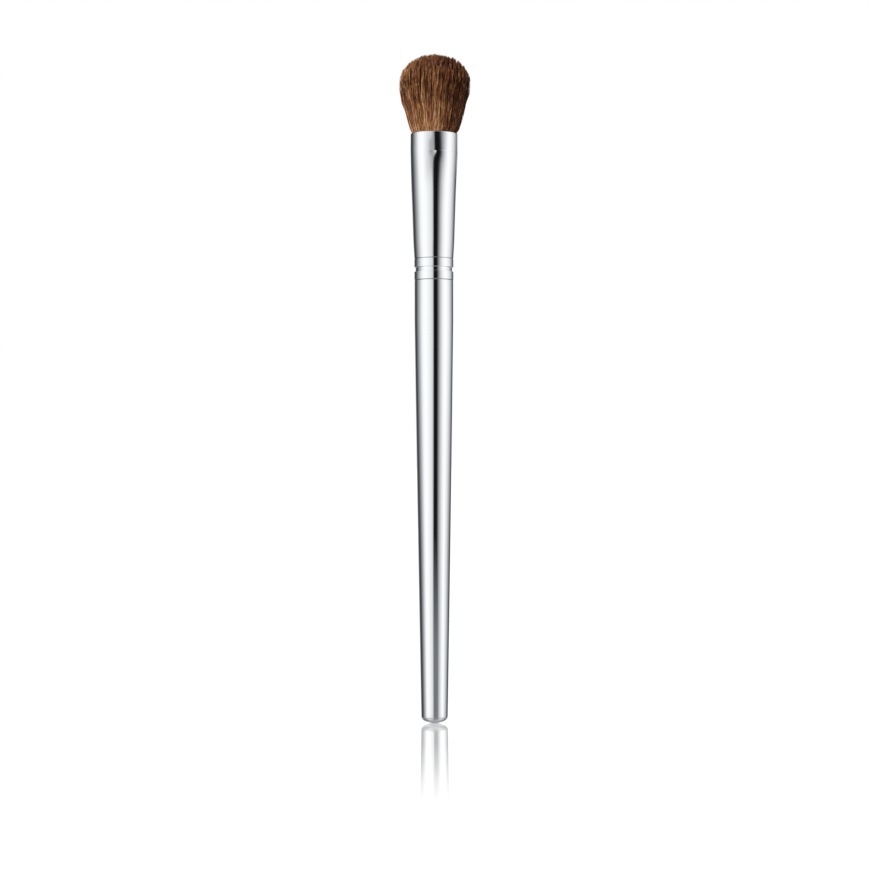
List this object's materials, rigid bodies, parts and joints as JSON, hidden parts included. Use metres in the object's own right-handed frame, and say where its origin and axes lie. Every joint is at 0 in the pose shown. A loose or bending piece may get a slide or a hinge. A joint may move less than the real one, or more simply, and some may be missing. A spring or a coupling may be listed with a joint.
{
  "type": "eyeshadow brush",
  "caption": "Full domed tuft of brown hair in a crimped metal ferrule pressed oval at its mouth, on a slim tapered polished metal handle with a shallow domed butt.",
  "frame": {"origin": "centre of the small flat land at the middle of the handle's domed butt", "axes": "+Z runs along the handle to the tip of the hair, X runs across the wide side of the oval tuft, and -Y is the front in the picture"},
  "size_m": [0.0166, 0.0128, 0.1599],
  "materials": {
    "polished_aluminium": "mirror polished, lacquered",
    "moulded_nylon": "moulded",
    "clear_adhesive": "cast, glossy",
    "epoxy_resin": "cast, glossy",
    "waxed_thread": "twisted, waxed",
    "brown_hair": "fine natural hair, golden to dark brown"
  },
  "bodies": {
    "root": {"handle_shell": "polished_aluminium", "ferrule": "polished_aluminium", "joint_plug": "moulded_nylon", "joint_adhesive": "clear_adhesive", "root_resin": "epoxy_resin", "root_binding": "waxed_thread", "bristle_tuft": "brown_hair"}
  },
  "joints": []
}
